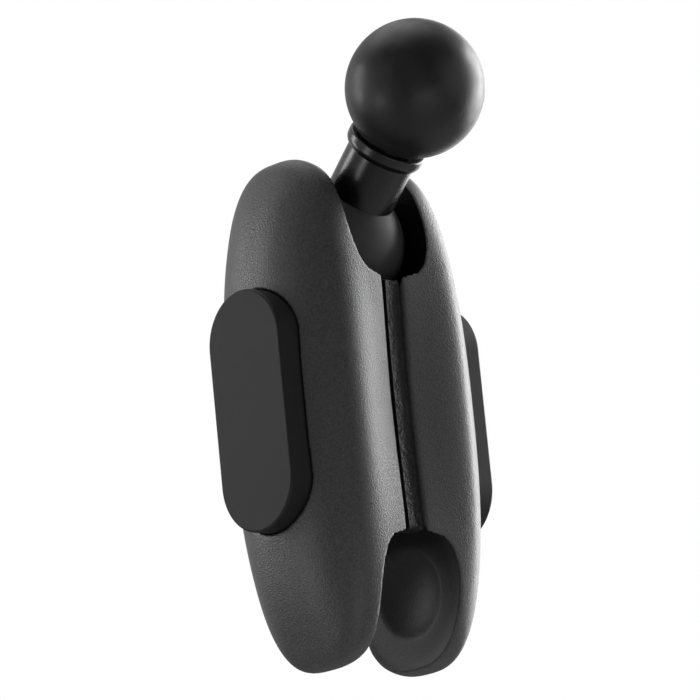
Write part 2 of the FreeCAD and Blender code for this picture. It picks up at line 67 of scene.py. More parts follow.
# Most of a pattern's values lie in this range, which the finishes spread theirs over.
PATTERN_LOW, PATTERN_HIGH = 0.3, 0.7
CLOUD_DETAIL = 3.0

# How much of its grid a skin fills, and how far each smoothing round goes.
SKIN_FILL = 0.97
ROUNDING_STRENGTH = 0.5

# How steeply a thread's flanks fall, in thread depths to a pitch.
THREAD_SLOPE = 2.6

log = logging.getLogger("clamp_arm")

Radius = Callable[[float], float]
Station = tuple[float, Radius]


class Slot(Enum):
    """The record's material slots."""

    SHELL = "shell_plastic"
    CAP = "cap_plastic"
    SPACER = "spacer_plastic"
    RUBBER = "ball_rubber"
    CORE = "core_metal"
    FASTENER = "fastener_steel"
    SPRING = "spring_steel"
    INSERT = "insert_nylon"


class Texture(Enum):
    """The two patterns that a finish's relief is made of."""

    GRAIN = "ShaderNodeTexVoronoi"
    CLOUD = "ShaderNodeTexNoise"


# Finishes


class Recipe:
    """A material's node tree while it is put together."""

    def __init__(self, name: str) -> None:
        """Start a material.

        Args:
            name: the material's name.
        """
        self.material = bpy.data.materials.new(name)
        self.material.use_nodes = True
        self.tree = self.material.node_tree
        self.surface = self.tree.nodes["Principled BSDF"]
        place = self.node("ShaderNodeTexCoord")
        to_millimetres = self.node("ShaderNodeVectorMath", operation="SCALE")
        to_millimetres.inputs["Scale"].default_value = 1 / MILLIMETRE
        self.link(place.outputs["Object"], to_millimetres.inputs[0])
        self.place = to_millimetres.outputs["Vector"]

    def node(self, kind: str, **settings: object) -> bpy.types.Node:
        """Add a node.

        Args:
            kind: the node's Blender type.
            settings: properties to set on it.

        Returns:
            The new node.
        """
        made = self.tree.nodes.new(kind)
        for name, value in settings.items():
            setattr(made, name, value)
        return made

    def link(self, source: bpy.types.NodeSocket, target: bpy.types.NodeSocket) -> None:
        """Join two sockets.

        Args:
            source: the output.
            target: the input.
        """
        self.tree.links.new(source, target)

    def pattern(self, texture: Texture, size: float) -> bpy.types.NodeSocket:
        """Add a pattern with features of one size.

        Args:
            texture: which pattern.
            size: how wide its features are, in millimetres.

        Returns:
            Its height, from 0 to 1.
        """
        made = self.node(texture.value)
        made.inputs["Scale"].default_value = 1 / size
        self.link(self.place, made.inputs["Vector"])
        if texture is Texture.CLOUD:
            made.inputs["Detail"].default_value = CLOUD_DETAIL
            return made.outputs["Fac"]
        made.feature = "SMOOTH_F1"
        return made.outputs["Distance"]

    def between(
        self, share: bpy.types.NodeSocket, low: float, high: float
    ) -> bpy.types.NodeSocket:
        """Turn a pattern's middle range into a value between two others.

        Args:
            share: the pattern, from 0 to 1.
            low: the value at the range's foot.
            high: the value at its head.

        Returns:
            The value's socket.
        """
        made = self.node("ShaderNodeMapRange")
        made.inputs["From Min"].default_value = PATTERN_LOW
        made.inputs["From Max"].default_value = PATTERN_HIGH
        made.inputs["To Min"].default_value = low
        made.inputs["To Max"].default_value = high
        self.link(share, made.inputs["Value"])
        return made.outputs["Result"]

    def tint(
        self, share: bpy.types.NodeSocket, dark: tuple[float, ...], pale: tuple[float, ...]
    ) -> bpy.types.NodeSocket:
        """Turn a pattern into a colour between two others.

        Args:
            share: the pattern, from 0 to 1.
            dark: the colour at the foot of its middle range.
            pale: the colour at the head of its middle range.

        Returns:
            The colour's socket.
        """
        made = self.node("ShaderNodeMix", data_type="RGBA")
        made.inputs["A"].default_value = (*dark, 1.0)
        made.inputs["B"].default_value = (*pale, 1.0)
        self.link(self.between(share, 0.0, 1.0), made.inputs["Factor"])
        return made.outputs["Result"]

    def bump(self, height: bpy.types.NodeSocket, depth: float) -> None:
        """Lay a relief over whatever relief is there.

        Args:
            height: the relief, from 0 to 1.
            depth: how deep it is, in millimetres.
        """
        made = self.node("ShaderNodeBump")
        made.inputs["Distance"].default_value = depth * MILLIMETRE
        normal = self.surface.inputs["Normal"]
        if normal.is_linked:
            self.link(normal.links[0].from_socket, made.inputs["Normal"])
        self.link(height, made.inputs["Height"])
        self.link(made.outputs["Normal"], normal)


@dataclass(frozen=True)
class Relief:
    """One layer of a surface's relief, with its sizes in millimetres."""

    texture: Texture
    size: float
    depth: float


@dataclass(frozen=True)
class Finish:
    """How one of the arm's materials looks, with its sizes in millimetres."""

    name: str
    slot: Slot
    tone: tuple[float, float, float]
    tone_spread: float
    roughness: float
    roughness_spread: float
    mottle_size: float
    reliefs: tuple[Relief, ...] = ()
    metallic: float = 0.0
    specular: float = 0.5

    def material(self) -> bpy.types.Material:
        """Make the finish's material the first time, and share it after that.

        Returns:
            The material.
        """
        known = bpy.data.materials.get(self.name)
        return known or self.make()

    def make(self) -> bpy.types.Material:
        """Build the finish's node tree.

        Returns:
            The new material.
        """
        recipe = Recipe(self.name)
        self.lay(recipe)
        return recipe.material

    def lay(self, recipe: Recipe) -> None:
        """Put the finish's colour, gloss and relief into a recipe.

        Args:
            recipe: the recipe of the finish's material.
        """
        surface = recipe.surface
        mottle = recipe.pattern(Texture.CLOUD, self.mottle_size)
        dark = tuple(part * (1 - self.tone_spread) for part in self.tone)
        pale = tuple(part * (1 + self.tone_spread) for part in self.tone)
        recipe.link(recipe.tint(mottle, dark, pale), surface.inputs["Base Color"])
        low = self.roughness - self.roughness_spread
        high = self.roughness + self.roughness_spread
        recipe.link(recipe.between(mottle, low, high), surface.inputs["Roughness"])
        for relief in self.reliefs:
            recipe.bump(recipe.pattern(relief.texture, relief.size), relief.depth)
        surface.inputs["Metallic"].default_value = self.metallic
        surface.inputs["Specular IOR Level"].default_value = self.specular

    def dress(self, piece: bpy.types.Object) -> None:
        """Give a piece this finish all over.

        Args:
            piece: the piece.
        """
        piece.data.materials.clear()
        piece.data.materials.append(self.material())


@dataclass(frozen=True)
class PaintedShadeLining:
    """How the moulded surface changes inside one ball socket: a satin finish with a darker tone
    painted as shade, with sizes in millimetres.
    """

    height: float
    tone: tuple[float, float, float]
    roughness: float
    specular: float
    radius: float = 16.4
    edge: float = 0.5

    def inside(self, recipe: Recipe) -> bpy.types.NodeSocket:
        """Mark the surface that looks into the socket.

        Args:
            recipe: the shells' recipe.

        Returns:
            1 inside the socket and 0 outside it, with a soft edge.
        """
        inward = recipe.node("ShaderNodeVectorMath", operation="SUBTRACT")
        inward.inputs[0].default_value = (0.0, 0.0, self.height)
        recipe.link(recipe.place, inward.inputs[1])
        facing = recipe.node("ShaderNodeVectorMath", operation="DOT_PRODUCT")
        normal = recipe.node("ShaderNodeTexCoord").outputs["Normal"]
        recipe.link(inward.outputs["Vector"], facing.inputs[0])
        recipe.link(normal, facing.inputs[1])
        across = recipe.node("ShaderNodeVectorMath", operation="MULTIPLY")
        across.inputs[1].default_value = (0.0, 1.0, 1.0)
        recipe.link(inward.outputs["Vector"], across.inputs[0])
        reach = recipe.node("ShaderNodeVectorMath", operation="LENGTH")
        recipe.link(across.outputs["Vector"], reach.inputs[0])
        looks_in = self.ramp(recipe, facing.outputs["Value"], 0.0, 2 * self.edge)
        near = self.ramp(recipe, reach.outputs["Value"], self.radius + self.edge, self.radius)
        both = recipe.node("ShaderNodeMath", operation="MULTIPLY")
        recipe.link(looks_in, both.inputs[0])
        recipe.link(near, both.inputs[1])
        return both.outputs["Value"]

    def ramp(
        self, recipe: Recipe, value: bpy.types.NodeSocket, start: float, end: float
    ) -> bpy.types.NodeSocket:
        """Rise smoothly from 0 to 1 between two values.

        Args:
            recipe: the shells' recipe.
            value: what is measured.
            start: the value that gives 0.
            end: the value that gives 1.

        Returns:
            The ramp's socket.
        """
        made = recipe.node("ShaderNodeMapRange", interpolation_type="SMOOTHSTEP")
        low, high = sorted((start, end))
        made.inputs["From Min"].default_value = low
        made.inputs["From Max"].default_value = high
        made.inputs["To Min"].default_value = float(start > end)
        made.inputs["To Max"].default_value = float(start < end)
        recipe.link(value, made.inputs["Value"])
        return made.outputs["Result"]


@dataclass(frozen=True)
class MouldedFinish(Finish):
    """A moulded finish whose sockets are lined with satin finishes that carry painted shade."""

    painted_shade_linings: tuple[PaintedShadeLining, ...] = ()

    def lay(self, recipe: Recipe) -> None:
        """Put the grain into a recipe, and then each socket's lining, with its painted shade, over
        it.

        Args:
            recipe: the shells' recipe.
        """
        super().lay(recipe)
        for painted_shade_lining in self.painted_shade_linings:
            share = painted_shade_lining.inside(recipe)
            self.cover(recipe, share, "Base Color", (*painted_shade_lining.tone, 1.0))
            self.cover(recipe, share, "Roughness", painted_shade_lining.roughness)
            self.cover(recipe, share, "Specular IOR Level", painted_shade_lining.specular)

    def cover(
        self,
        recipe: Recipe,
        share: bpy.types.NodeSocket,
        name: str,
        value: float | tuple[float, ...],
    ) -> None:
        """Mix a lining's value over one of the surface's.

        Args:
            recipe: the shells' recipe.
            share: where the lining lies.
            name: which of the surface's values.
            value: the lining's own.
        """
        target = recipe.surface.inputs[name]
        mix = recipe.node("ShaderNodeMix", data_type="RGBA" if name == "Base Color" else "FLOAT")
        kept = next(socket for socket in mix.inputs if socket.name == "A" and socket.enabled)
        laid = next(socket for socket in mix.inputs if socket.name == "B" and socket.enabled)
        result = next(socket for socket in mix.outputs if socket.enabled)
        if target.is_linked:
            recipe.link(target.links[0].from_socket, kept)
        else:
            kept.default_value = target.default_value
        laid.default_value = value
        recipe.link(share, mix.inputs["Factor"])
        recipe.link(result, target)


SHELL_GRAIN = MouldedFinish(
    name="shell_grain",
    slot=Slot.SHELL,
    tone=(0.05, 0.05, 0.052),
    tone_spread=0.42,
    roughness=0.44,
    roughness_spread=0.08,
    mottle_size=0.36,
    reliefs=(Relief(Texture.GRAIN, 0.28, 0.068), Relief(Texture.CLOUD, 0.42, 0.022)),
    specular=0.6,
    # Painted shade in the sockets: the lower socket's lining is painted a little darker than the
    # grain, and the upper socket's nearly black, as shade under the ball and neck. Both linings are
    # also rougher and less glossy.
    painted_shade_linings=(
        PaintedShadeLining(height=0.0, tone=(0.036, 0.036, 0.037), roughness=0.52, specular=0.24),
        PaintedShadeLining(height=SOCKET_PITCH_MM, tone=(0.004, 0.004, 0.004), roughness=0.6, specular=0.06),
    ),
)
CAP_SATIN = Finish(
    name="cap_satin",
    slot=Slot.CAP,
    tone=(0.016, 0.016, 0.0165),
    tone_spread=0.04,
    roughness=0.55,
    roughness_spread=0.02,
    mottle_size=1.5,
    reliefs=(Relief(Texture.CLOUD, 0.15, 0.002),),
    specular=0.22,
)
STRIP_COARSE = Finish(
    name="strip_coarse",
    slot=Slot.SPACER,
    tone=(0.007, 0.007, 0.007),
    tone_spread=0.6,
    roughness=0.45,
    roughness_spread=0.2,
    mottle_size=0.5,
    reliefs=(Relief(Texture.CLOUD, 0.35, 0.12), Relief(Texture.GRAIN, 0.5, 0.16)),
    specular=0.42,
)
BALL_RUBBER = Finish(
    name="ball_rubber_satin",
    slot=Slot.RUBBER,
    tone=(0.016, 0.016, 0.0165),
    tone_spread=0.12,
    roughness=0.4,
    roughness_spread=0.06,
    mottle_size=4.0,
    reliefs=(Relief(Texture.CLOUD, 0.2, 0.003), Relief(Texture.CLOUD, 6.0, 0.08)),
    specular=0.35,
)
# The lower ball's rubber: the upper ball's rubber made rougher, with its tone painted about 2.6
# times lighter as painted light on the ball.
PAINTED_LIGHT_SOCKET_RUBBER = replace(
    BALL_RUBBER, name="socket_rubber_matt_painted_light", tone=(0.042, 0.042, 0.0425), roughness=0.6
)
NECK_GLOSS = Finish(
    name="neck_gloss",
    slot=Slot.CORE,
    tone=(0.004, 0.004, 0.0042),
    tone_spread=0.1,
    roughness=0.27,
    roughness_spread=0.04,
    mottle_size=3.0,
    reliefs=(Relief(Texture.CLOUD, 0.5, 0.002),),
)
ZINC_STEEL = Finish(
    name="zinc_steel",
    slot=Slot.FASTENER,
    tone=(0.48, 0.48, 0.47),
    tone_spread=0.08,
    roughness=0.32,
    roughness_spread=0.08,
    mottle_size=1.2,
    reliefs=(Relief(Texture.CLOUD, 0.3, 0.003),),
    metallic=1.0,
)
SPRING_STEEL = Finish(
    name="spring_steel",
    slot=Slot.SPRING,
    tone=(0.36, 0.36, 0.37),
    tone_spread=0.1,
    roughness=0.28,
    roughness_spread=0.06,
    mottle_size=0.8,
    reliefs=(Relief(Texture.CLOUD, 0.2, 0.002),),
    metallic=1.0,
)
INSERT_NYLON = Finish(
    name="insert_nylon",
    slot=Slot.INSERT,
    tone=(0.08, 0.13, 0.45),
    tone_spread=0.08,
    roughness=0.45,
    roughness_spread=0.04,
    mottle_size=1.0,
    reliefs=(Relief(Texture.CLOUD, 0.4, 0.004),),
)

NODE_FINISHES = {
    "right_cap": CAP_SATIN,
    "left_cap": CAP_SATIN,
    "head_washer": ZINC_STEEL,
    "nut_insert": INSERT_NYLON,
    "upper_pin": ZINC_STEEL,
    "lower_pin": ZINC_STEEL,
    "lower_core": NECK_GLOSS,
    "lower_ball": PAINTED_LIGHT_SOCKET_RUBBER,
    "stud_neck": NECK_GLOSS,
    "upper_ball": BALL_RUBBER,
}


# Mesh helpers


def show(name: str, mesh: bpy.types.Mesh) -> bpy.types.Object:
    """Put a mesh into the scene.

    Args:
        name: the piece's name.
        mesh: its mesh.

    Returns:
        The new piece.
    """
    piece = bpy.data.objects.new(name, mesh)
    bpy.context.scene.collection.objects.link(piece)
    return piece


def apply_modifiers(piece: bpy.types.Object) -> None:
    """Turn a piece's modifiers into its mesh.

    Args:
        piece: the piece.
    """
    graph = bpy.context.evaluated_depsgraph_get()
    mesh = bpy.data.meshes.new_from_object(piece.evaluated_get(graph))
    piece.modifiers.clear()
    piece.data = mesh


def new_skin(node: str, name: str, fineness: int, rounds: int) -> bpy.types.Object:
    """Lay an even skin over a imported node, with its sharp edges rounded.

    Args:
        node: the node.
        name: the new piece's name.
        fineness: how many times the node's length is halved to give a face's width.
        rounds: how many times the skin is smoothed.

    Returns:
        The new piece.
    """
    piece = show(name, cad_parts[node].data.copy())
    skin = piece.modifiers.new("skin", "REMESH")
    skin.mode = "SHARP"
    skin.octree_depth = fineness
    skin.scale = SKIN_FILL
    skin.use_remove_disconnected = False
    skin.use_smooth_shade = True
    rounding = piece.modifiers.new("rounding", "SMOOTH")
    rounding.factor = ROUNDING_STRENGTH
    rounding.iterations = rounds
    apply_modifiers(piece)
    return piece


def round_ring(radius: float) -> Radius:
    """A ring of one radius.

    Args:
        radius: the radius.

    Returns:
        The ring's radius at an angle.
    """
    return lambda angle: radius


def hexagon_ring(across_flats: float, largest: float = math.inf) -> Radius:
    """A hexagonal ring with its corners up and down.

    Args:
        across_flats: the hexagon's width.
        largest: the radius at which its corners are turned off.

    Returns:
        The ring's radius at an angle.
    """
    sixth = math.pi / 3

    def radius(angle: float) -> float:
        off_flat = (angle + sixth / 2) % sixth - sixth / 2
        return min(across_flats / 2 / math.cos(off_flat), largest)

    return radius


def knurled_ring(radius: float, depth: float, ridges: int) -> Radius:
    """A ring with fine ridges round it.

    Args:
        radius: the ring's largest radius.
        depth: how deep the ridges are cut.
        ridges: how many there are.

    Returns:
        The ring's radius at an angle.
    """
    return lambda angle: radius - depth * (0.5 + 0.5 * math.cos(angle * ridges))


def thread_ring(place: float, crest: float, depth: float, pitch: float) -> Radius:
    """A ring through a right-hand thread.

    Args:
        place: how far along the thread the ring is.
        crest: the thread's largest radius.
        depth: how deep the thread is cut.
        pitch: the thread's pitch.

    Returns:
        The ring's radius at an angle.
    """

    def radius(angle: float) -> float:
        from_crest = abs((place / pitch + angle / math.tau) % 1.0 - 0.5)
        return crest - depth * min(1.0, THREAD_SLOPE * from_crest)

    return radius


def loft(name: str, rings: Sequence[Sequence[Vector]], hollow: bool = False) -> bpy.types.Mesh:
    """Join rings of points into a closed skin.

    Args:
        name: the mesh's name.
        rings: the rings, each with as many points as the next.
        hollow: whether the last ring joins the first one, instead of both being filled.

    Returns:
        The skin's mesh.
    """
    shape = bmesh.new()
    loops = [[shape.verts.new(point) for point in ring] for ring in rings]
    following = loops[1:] + loops[:1] if hollow else loops[1:]
    for first, second in zip(loops, following):
        for step in range(len(first)):
            after = (step + 1) % len(first)
            shape.faces.new((first[step], first[after], second[after], second[step]))
    if not hollow:
        shape.faces.new(loops[0])
        shape.faces.new(loops[-1])
    bmesh.ops.recalc_face_normals(shape, faces=shape.faces[:])
    mesh = bpy.data.meshes.new(name)
    shape.to_mesh(mesh)
    shape.free()
    return mesh


def ring_stack(
    name: str, stations: Sequence[Station], centre: Vector, corners: int, hollow: bool = False
) -> bpy.types.Mesh:
    """Join rings along X into a closed skin.

    Args:
        name: the mesh's name.
        stations: each ring's place along X and its radius, in order round the skin.
        centre: the point on the rings' axis that places are counted from.
        corners: how many corners each ring has.
        hollow: whether the last ring joins the first one, instead of both being filled.

    Returns:
        The skin's mesh.
    """
    angles = [math.tau * step / corners for step in range(corners)]
    rings = []
    for place, radius in stations:
        spokes = [(place, radius(a) * math.cos(a), radius(a) * math.sin(a)) for a in angles]
        rings.append([centre + Vector(spoke) for spoke in spokes])
    return loft(name, rings, hollow)


# Clamp shells and the strip between them


@dataclass
class ClampShell:
    """One moulded half of the arm, with rounded rims and smooth socket recesses."""

    name: str
    node: str
    body: str
    fineness: int = 9
    smoothing_rounds: int = 55
    kept_share: float = 0.4

    def build(self) -> None:
        """Skin the shell, dress it and put it on its body."""
        piece = new_skin(self.node, self.name, self.fineness, self.smoothing_rounds)
        thinned = piece.modifiers.new("thinned", "DECIMATE")
        thinned.ratio = self.kept_share
        apply_modifiers(piece)
        SHELL_GRAIN.dress(piece)
        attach(piece, self.body)
        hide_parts(self.node)
        log.info("built %s with %d faces", self.name, len(piece.data.polygons))


@dataclass
class CentreStrip:
    """The coarse cast strip that fills the gap between the shells."""

    name: str = "centre_strip"
    node: str = "centre_spacer"
    body: str = "base_half"
    fineness: int = 8
    smoothing_rounds: int = 3
    lump_size: float = 1.1 * MILLIMETRE
    lump_depth: float = 0.22 * MILLIMETRE
    pit_size: float = 0.45 * MILLIMETRE
    pit_depth: float = 0.1 * MILLIMETRE
    mark_place: tuple[float, float] = (1.2 * MILLIMETRE, 11.2 * MILLIMETRE)
    mark_half_width: float = 0.5 * MILLIMETRE
    mark_half_height: float = 1.2 * MILLIMETRE
    mark_depth: float = 0.35 * MILLIMETRE
    mark_steepness: int = 4

    def build(self) -> None:
        """Skin the strip, roughen it inwards and put it on its body."""
        piece = new_skin(self.node, self.name, self.fineness, self.smoothing_rounds)
        surface = [(vertex.co.copy(), vertex.normal.copy()) for vertex in piece.data.vertices]
        for vertex, (place, normal) in zip(piece.data.vertices, surface):
            vertex.co = place - normal * self.hollow(place, normal)
        STRIP_COARSE.dress(piece)
        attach(piece, self.body)
        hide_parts(self.node)
        log.info("built %s with %d faces", self.name, len(piece.data.polygons))

    def hollow(self, place: Vector, normal: Vector) -> float:
        """How far the cast surface lies below the node's surface.

        Args:
            place: a point on the strip.
            normal: the surface's direction there.

        Returns:
            The depth, only on the strip's open edges.
        """
        open_edge = 1.0 - abs(normal.x)
        lumps = 0.5 + 0.5 * noise.noise(place / self.lump_size)
        pits = max(0.0, noise.noise(place / self.pit_size))
        rough = self.lump_depth * lumps + self.pit_depth * pits
        return open_edge * (rough + self.mark(place, normal))

    def mark(self, place: Vector, normal: Vector) -> float:
        """The depth of the oval gate mark near the strip's lower end, on the front.

        Args:
            place: a point on the strip.
            normal: the surface's direction there.

        Returns:
            The depth.
        """
        across = (place.x - self.mark_place[0]) / self.mark_half_width
        along = (place.z - self.mark_place[1]) / self.mark_half_height
        inside = max(0.0, 1.0 - math.hypot(across, along) ** self.mark_steepness)
        return self.mark_depth * inside if normal.y < 0 else 0.0


# Fasteners inside the arm


@dataclass
class ClampScrew:
    """The socket-head screw that pulls the shells together."""

    name: str = "threaded_screw"
    node: str = "clamp_screw"
    body: str = "screw"
    head_radius: float = 5.0 * MILLIMETRE
    head_height: float = 6.0 * MILLIMETRE
    edge: float = 0.5 * MILLIMETRE
    key_width: float = 5.0 * MILLIMETRE
    key_depth: float = 3.0 * MILLIMETRE
    knurl_depth: float = 0.12 * MILLIMETRE
    knurl_ridges: int = 36
    knurl_margin: float = 0.6 * MILLIMETRE
    shank_radius: float = 2.95 * MILLIMETRE
    length: float = 30.0 * MILLIMETRE
    plain_length: float = 12.0 * MILLIMETRE
    thread_pitch: float = 1.0 * MILLIMETRE
    thread_depth: float = 0.5 * MILLIMETRE
    ring_step: float = 0.125 * MILLIMETRE
    corners: int = 144

    def build(self) -> None:
        """Turn the screw and put it on its body."""
        low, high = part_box(self.node)
        top = Vector((low.x, 0.0, (low.z + high.z) / 2))
        stations = [*self.key_stations(), *self.head_stations(), *self.shank_stations()]
        piece = show(self.name, ring_stack(self.name, stations, top, self.corners))
        ZINC_STEEL.dress(piece)
        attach(piece, self.body)
        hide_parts(self.node)
        log.info("built %s with %d faces", self.name, len(piece.data.polygons))

    def key_stations(self) -> list[Station]:
        """The hexagonal key hole.

        Returns:
            The rings from the hole's floor to the head's top.
        """
        lead = self.edge / 2
        return [
            (self.key_depth, hexagon_ring(self.key_width)),
            (lead, hexagon_ring(self.key_width)),
            (0.0, hexagon_ring(self.key_width + 2 * lead)),
        ]

    def head_stations(self) -> list[Station]:
        """The head's rounded edge, its knurled side and its underside.

        Returns:
            The rings from the head's top to the shank.
        """
        inner = self.head_radius - self.edge
        steps = [math.radians(angle) for angle in (0, 22.5, 45, 67.5, 90)]
        rim = [
            (
                self.edge * (1 - math.cos(angle)),
                round_ring(inner + self.edge * math.sin(angle)),
            )
            for angle in steps
        ]
        knurl = knurled_ring(self.head_radius, self.knurl_depth, self.knurl_ridges)
        under = self.head_height
        return [
            *rim,
            (self.knurl_margin, knurl),
            (under - self.knurl_margin, knurl),
            (under - self.edge / 2, round_ring(self.head_radius)),
            (under, round_ring(self.head_radius - self.edge / 2)),
        ]

    def shank_stations(self) -> list[Station]:
        """The plain shank, the thread and the screw's chamfered tip.

        Returns:
            The rings from the head to the tip.
        """
        root = self.shank_radius - self.thread_depth
        start, end = self.head_height, self.head_height + self.length
        shank = [
            (start, round_ring(self.shank_radius)),
            (start + self.plain_length, round_ring(self.shank_radius)),
        ]
        thread_start = start + self.plain_length + self.ring_step
        thread_length = end - self.thread_pitch / 2 - thread_start
        count = round(thread_length / self.ring_step)
        places = [thread_start + thread_length * step / count for step in range(count + 1)]
        thread = [
            (
                place,
                thread_ring(place, self.shank_radius, self.thread_depth, self.thread_pitch),
            )
            for place in places
        ]
        return [*shank, *thread, (end, round_ring(root))]


@dataclass
class LockNut:
    """The nut in the right shell: a hexagon with turned corners and a round collar."""

    name: str = "chamfered_lock_nut"
    node: str = "lock_nut"
    body: str = "base_half"
    across_flats: float = 10.0 * MILLIMETRE
    hexagon_height: float = 4.6 * MILLIMETRE
    chamfer: float = 0.5 * MILLIMETRE
    collar_radius: float = 4.5 * MILLIMETRE
    lip_radius: float = 3.4 * MILLIMETRE
    lip: float = 0.4 * MILLIMETRE
    insert_radius: float = 3.8 * MILLIMETRE
    insert_height: float = 1.2 * MILLIMETRE
    bore_radius: float = 3.02 * MILLIMETRE
    corners: int = 96

    def build(self) -> None:
        """Turn the nut and put it on its body."""
        low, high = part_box(self.node)
        seat = Vector((low.x, 0.0, (low.z + high.z) / 2))
        stations = [*self.outside(), *self.inside(high.x - low.x)]
        mesh = ring_stack(self.name, stations, seat, self.corners, hollow=True)
        piece = show(self.name, mesh)
        ZINC_STEEL.dress(piece)
        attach(piece, self.body)
        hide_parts(self.node)
        log.info("built %s with %d faces", self.name, len(piece.data.polygons))

    def outside(self) -> list[Station]:
        """The hexagon, with its corners turned off at both ends.

        Returns:
            The rings from the nut's seat to the collar's foot.
        """
        flats, tip = self.across_flats / 2, self.across_flats / math.sqrt(3)
        turned = hexagon_ring(self.across_flats, flats)
        whole = hexagon_ring(self.across_flats, tip)
        return [
            (0.0, turned),
            (self.chamfer, whole),
            (self.hexagon_height - self.chamfer, whole),
            (self.hexagon_height, turned),
            (self.hexagon_height, round_ring(self.collar_radius)),
        ]

    def inside(self, height: float) -> list[Station]:
        """The collar, the groove of the nylon ring and the bore.

        Args:
            height: the whole nut's height.

        Returns:
            The rings from the collar's rim back down to the nut's seat.
        """
        groove_top = height - self.lip
        groove_floor = groove_top - self.insert_height
        return [
            (height - self.lip, round_ring(self.collar_radius)),
            (height, round_ring(self.collar_radius - self.lip)),
            (height, round_ring(self.lip_radius)),
            (groove_top, round_ring(self.lip_radius)),
            (groove_top, round_ring(self.insert_radius)),
            (groove_floor, round_ring(self.insert_radius)),
            (groove_floor, round_ring(self.bore_radius)),
            (self.chamfer, round_ring(self.bore_radius)),
            (0.0, round_ring(self.bore_radius + self.chamfer)),
        ]


@dataclass
class ClampSpring:
    """The coil spring round the screw, fixed in place: it is put on neither half, so it does not
    lengthen as the shells part.
    """

    name: str = "coil_spring"
    node: str = "clamp_spring"
    fixed_body: str = "base_half"
    moving_body: str = "clamp_half"
    coil_radius: float = 4.4 * MILLIMETRE
    wire_radius: float = 0.48 * MILLIMETRE
    turns: float = 5.0
    stations_per_turn: int = 48
    wire_corners: int = 16

    def build(self) -> None:
        """Coil the spring where the imported spring lay, between the two halves."""
        low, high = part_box(self.node)
        axis = (low.z + high.z) / 2
        mesh = self.coil(low.x + self.wire_radius, high.x - self.wire_radius, axis)
        piece = show(self.name, mesh)
        piece.data.shade_smooth()
        SPRING_STEEL.dress(piece)
        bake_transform(piece)
        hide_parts(self.node)
        log.info("built %s with %d faces", self.name, len(piece.data.polygons))

    def coil(self, start: float, end: float, axis: float) -> bpy.types.Mesh:
        """Sweep the round wire along its helix.

        Args:
            start: where the coil's line starts along X.
            end: where it ends along X.
            axis: the height of the coil's axis.

        Returns:
            The wire's mesh.
        """
        count = round(self.turns * self.stations_per_turn)
        rings = []
        for station in range(count + 1):
            share = station / count
            angle = math.tau * self.turns * share
            outward = Vector((0.0, math.cos(angle), math.sin(angle)))
            middle = Vector((start + (end - start) * share, 0.0, axis)) + outward * self.coil_radius
            ring = []
            for corner in range(self.wire_corners):
                turn = math.tau * corner / self.wire_corners
                offset = outward * math.cos(turn) + Vector((math.sin(turn), 0.0, 0.0))
                ring.append(middle + offset * self.wire_radius)
            rings.append(ring)
        return loft(self.name, rings)


# Studio


@dataclass(frozen=True)
class SoftBox:
    """A large soft lamp that looks at the arm, and that the camera doesn't see."""

    name: str
    direction: tuple[float, float, float]
    width: float
    height: float
    radiance: float
    distance: float = 0.6

    def build(self, target: Vector) -> None:
        """Hang the lamp and turn it to the target.

        Args:
            target: the point that the lamp looks at.
        """
        lamp = bpy.data.lights.new(self.name, "AREA")
        lamp.shape = "RECTANGLE"
        lamp.size = self.width
        lamp.size_y = self.height
        lamp.energy = self.radiance * math.pi * self.width * self.height
        holder = bpy.data.objects.new(self.name, lamp)
        bpy.context.scene.collection.objects.link(holder)
        toward = Vector(self.direction).normalized()
        holder.location = target + toward * self.distance
        holder.rotation_euler = toward.to_track_quat("Z", "Y").to_euler()
        holder.visible_camera = False


